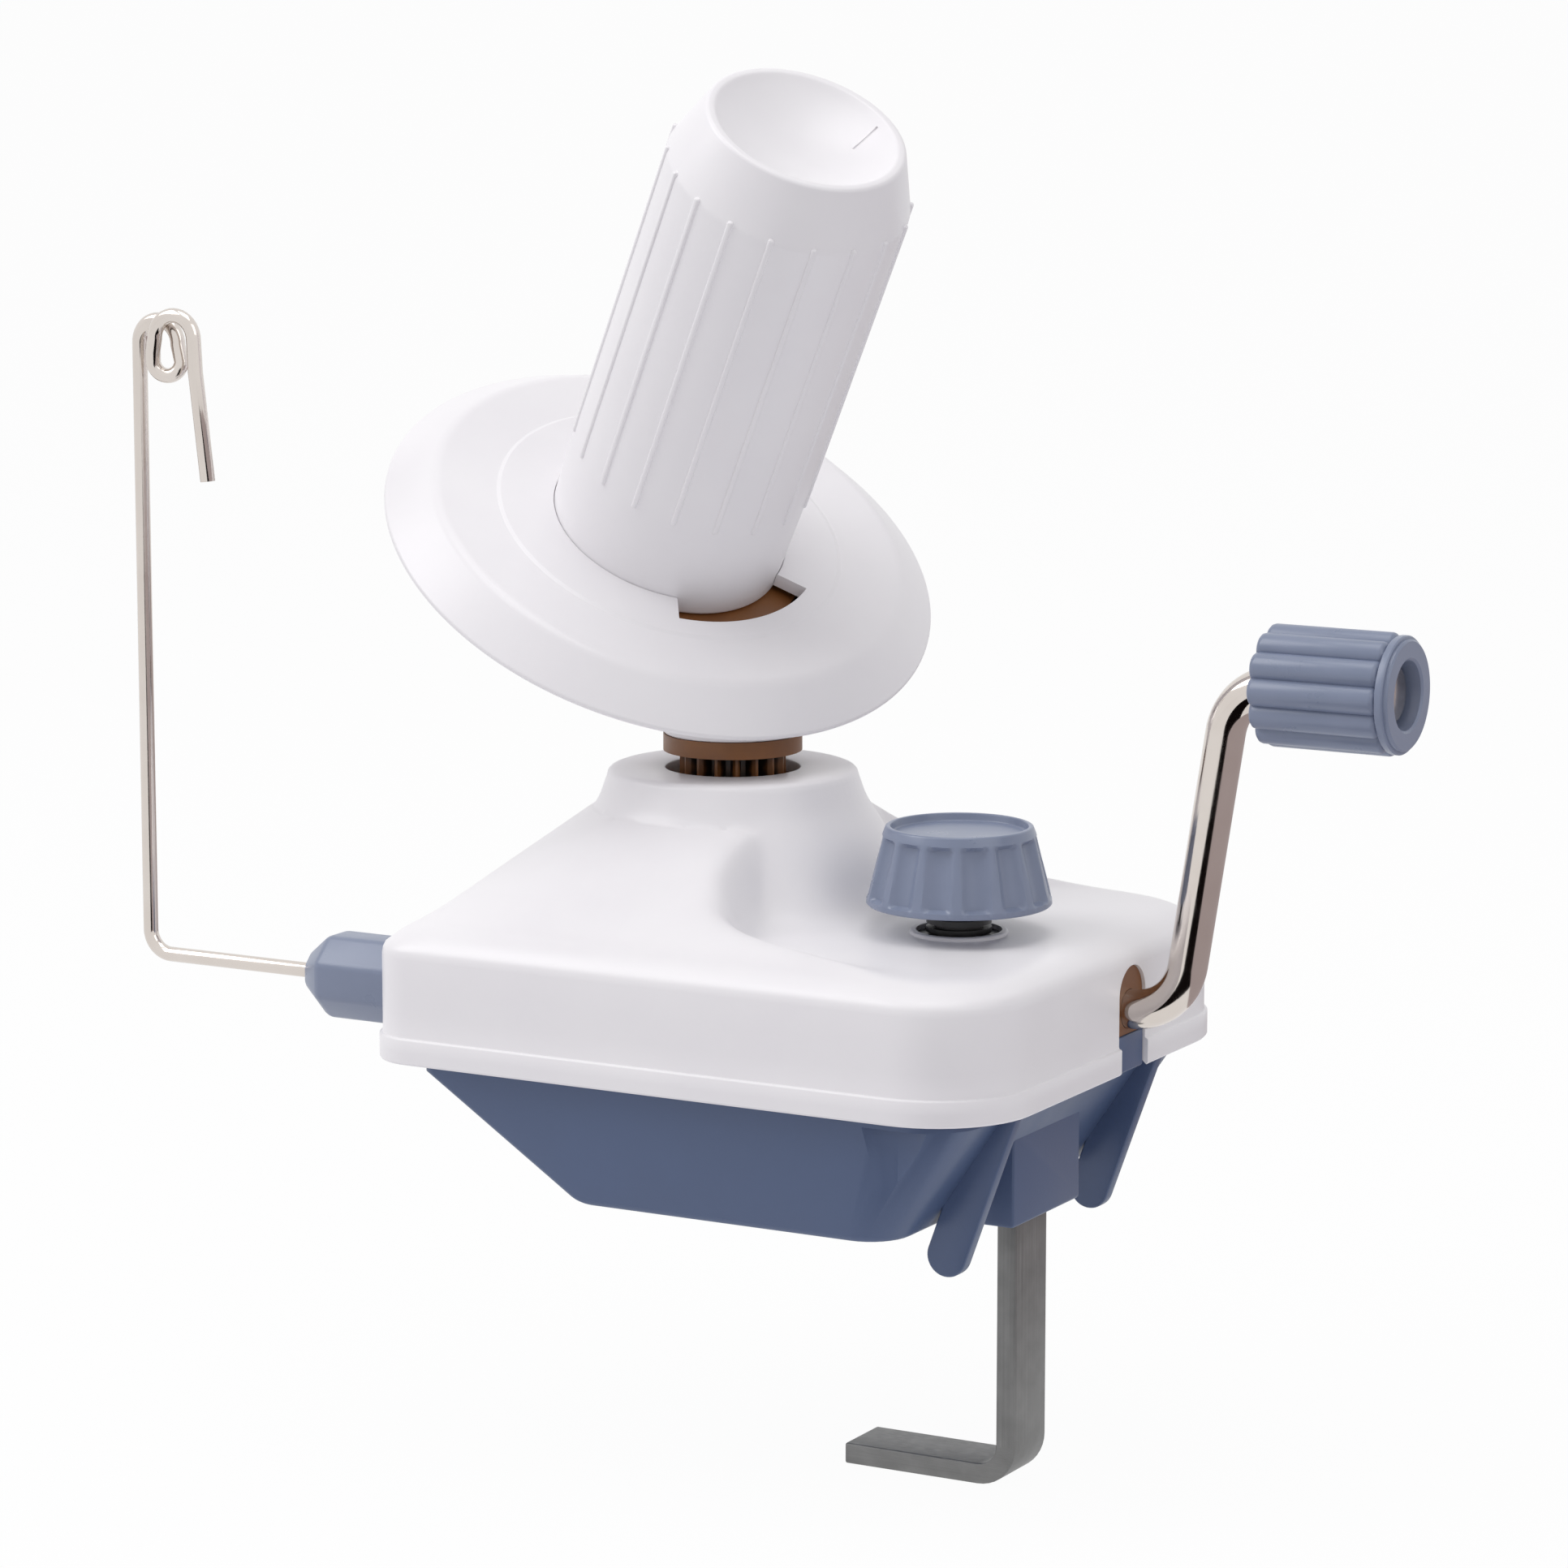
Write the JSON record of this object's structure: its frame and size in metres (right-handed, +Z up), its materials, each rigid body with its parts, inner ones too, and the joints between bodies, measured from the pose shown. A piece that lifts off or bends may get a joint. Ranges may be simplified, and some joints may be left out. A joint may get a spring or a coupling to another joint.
{
  "type": "yarn ball winder",
  "caption": "Hand-cranked yarn ball winder: a geared crank turns a tilted disc and spindle above a housing with a table clamp and a pivoting wire yarn guide.",
  "frame": {"origin": "where the winding axis meets the table plane, on the flat underside of the tray", "axes": "+X along the crank rod towards the crank, +Y away from the wide side of the housing, +Z up the winding axis"},
  "size_m": [0.2656, 0.1408, 0.2833],
  "materials": {
    "white_plastic": "satin moulded ABS",
    "blue_plastic": "satin moulded ABS, dark grey-blue",
    "light_blue_plastic": "satin moulded ABS, light grey-blue",
    "brown_plastic": "moulded nylon",
    "black_plastic": "moulded nylon",
    "bright_steel": "polished nickel plate",
    "grey_steel": "dull zinc plate"
  },
  "bodies": {
    "base": {"top_housing": "white_plastic", "bottom_tray": "blue_plastic", "housing_screws": "grey_steel", "neck_bush": "brown_plastic", "shaft_bush": "brown_plastic", "crank_bush": "brown_plastic", "shaft_saddle": "brown_plastic", "screw_bush": "black_plastic", "guide_holder": "light_blue_plastic", "holder_screw": "grey_steel"},
    "crank": {"crank_rod": "bright_steel", "crown_gear": "brown_plastic", "gear_pin": "bright_steel", "shaft_collar": "grey_steel", "grip_cap": "bright_steel"},
    "grip": {"crank_grip": "light_blue_plastic"},
    "winding_head": {"winding_pinion": "brown_plastic", "winding_disc": "white_plastic", "disc_screws": "grey_steel", "spindle_axle": "bright_steel", "axle_clip": "grey_steel"},
    "drive_line": {"drive_shaft": "bright_steel", "drive_pinion": "brown_plastic", "thrust_washer": "bright_steel", "drive_bevel": "brown_plastic"},
    "spindle": {"spindle_shell": "white_plastic", "spindle_gear": "brown_plastic", "spindle_bush": "brown_plastic"},
    "clamp_turner": {"clamp_knob": "light_blue_plastic", "clamp_screw": "black_plastic", "screw_clip": "grey_steel"},
    "clamp_jaw": {"clamp_bracket": "grey_steel", "clamp_nut": "grey_steel"},
    "guide": {"guide_wire": "bright_steel"}
  },
  "joints": [
    {"name": "crank_turn", "type": "hinge", "parent": "base", "child": "crank", "pos_m": [0.05, 0, 0.0385], "axis": [1, 0, 0], "continuous": true},
    {"name": "grip_turn", "type": "hinge", "parent": "crank", "child": "grip", "pos_m": [0.135, 0, 0.1065], "axis": [1, 0, 0], "continuous": true},
    {"name": "winding_turn", "type": "hinge", "parent": "base", "child": "winding_head", "pos_m": [0, 0, 0.08], "axis": [0, 0, 1], "continuous": true},
    {"name": "drive_turn", "type": "hinge", "parent": "base", "child": "drive_line", "pos_m": [0, 0, 0.05], "axis": [0, 0, 1], "continuous": true},
    {"name": "spindle_turn", "type": "hinge", "parent": "winding_head", "child": "spindle", "pos_m": [0, 0, 0.168], "axis": [0.4728, -0.2763, 0.8368], "continuous": true},
    {"name": "knob_turn", "type": "hinge", "parent": "base", "child": "clamp_turner", "pos_m": [0.059, -0.012, 0.06], "axis": [0, 0, 1], "range_deg": [-3600, 0]},
    {"name": "jaw_lift", "type": "slide", "parent": "base", "child": "clamp_jaw", "axis": [0, 0, 1], "range_m": [0, 0.03]},
    {"name": "guide_swing", "type": "hinge", "parent": "base", "child": "guide", "pos_m": [-0.08, -0.048, 0.0385], "axis": [1, 0, 0], "range_deg": [-90, 90]}
  ],
  "couplings": [
    {"joint": "winding_turn", "follows": "crank_turn", "ratio": -3.25},
    {"joint": "drive_turn", "follows": "crank_turn", "ratio": -2.5},
    {"joint": "spindle_turn", "follows": "crank_turn", "ratio": -0.25},
    {"joint": "jaw_lift", "follows": "knob_turn", "m_per_rad": -0.00047746}
  ]
}
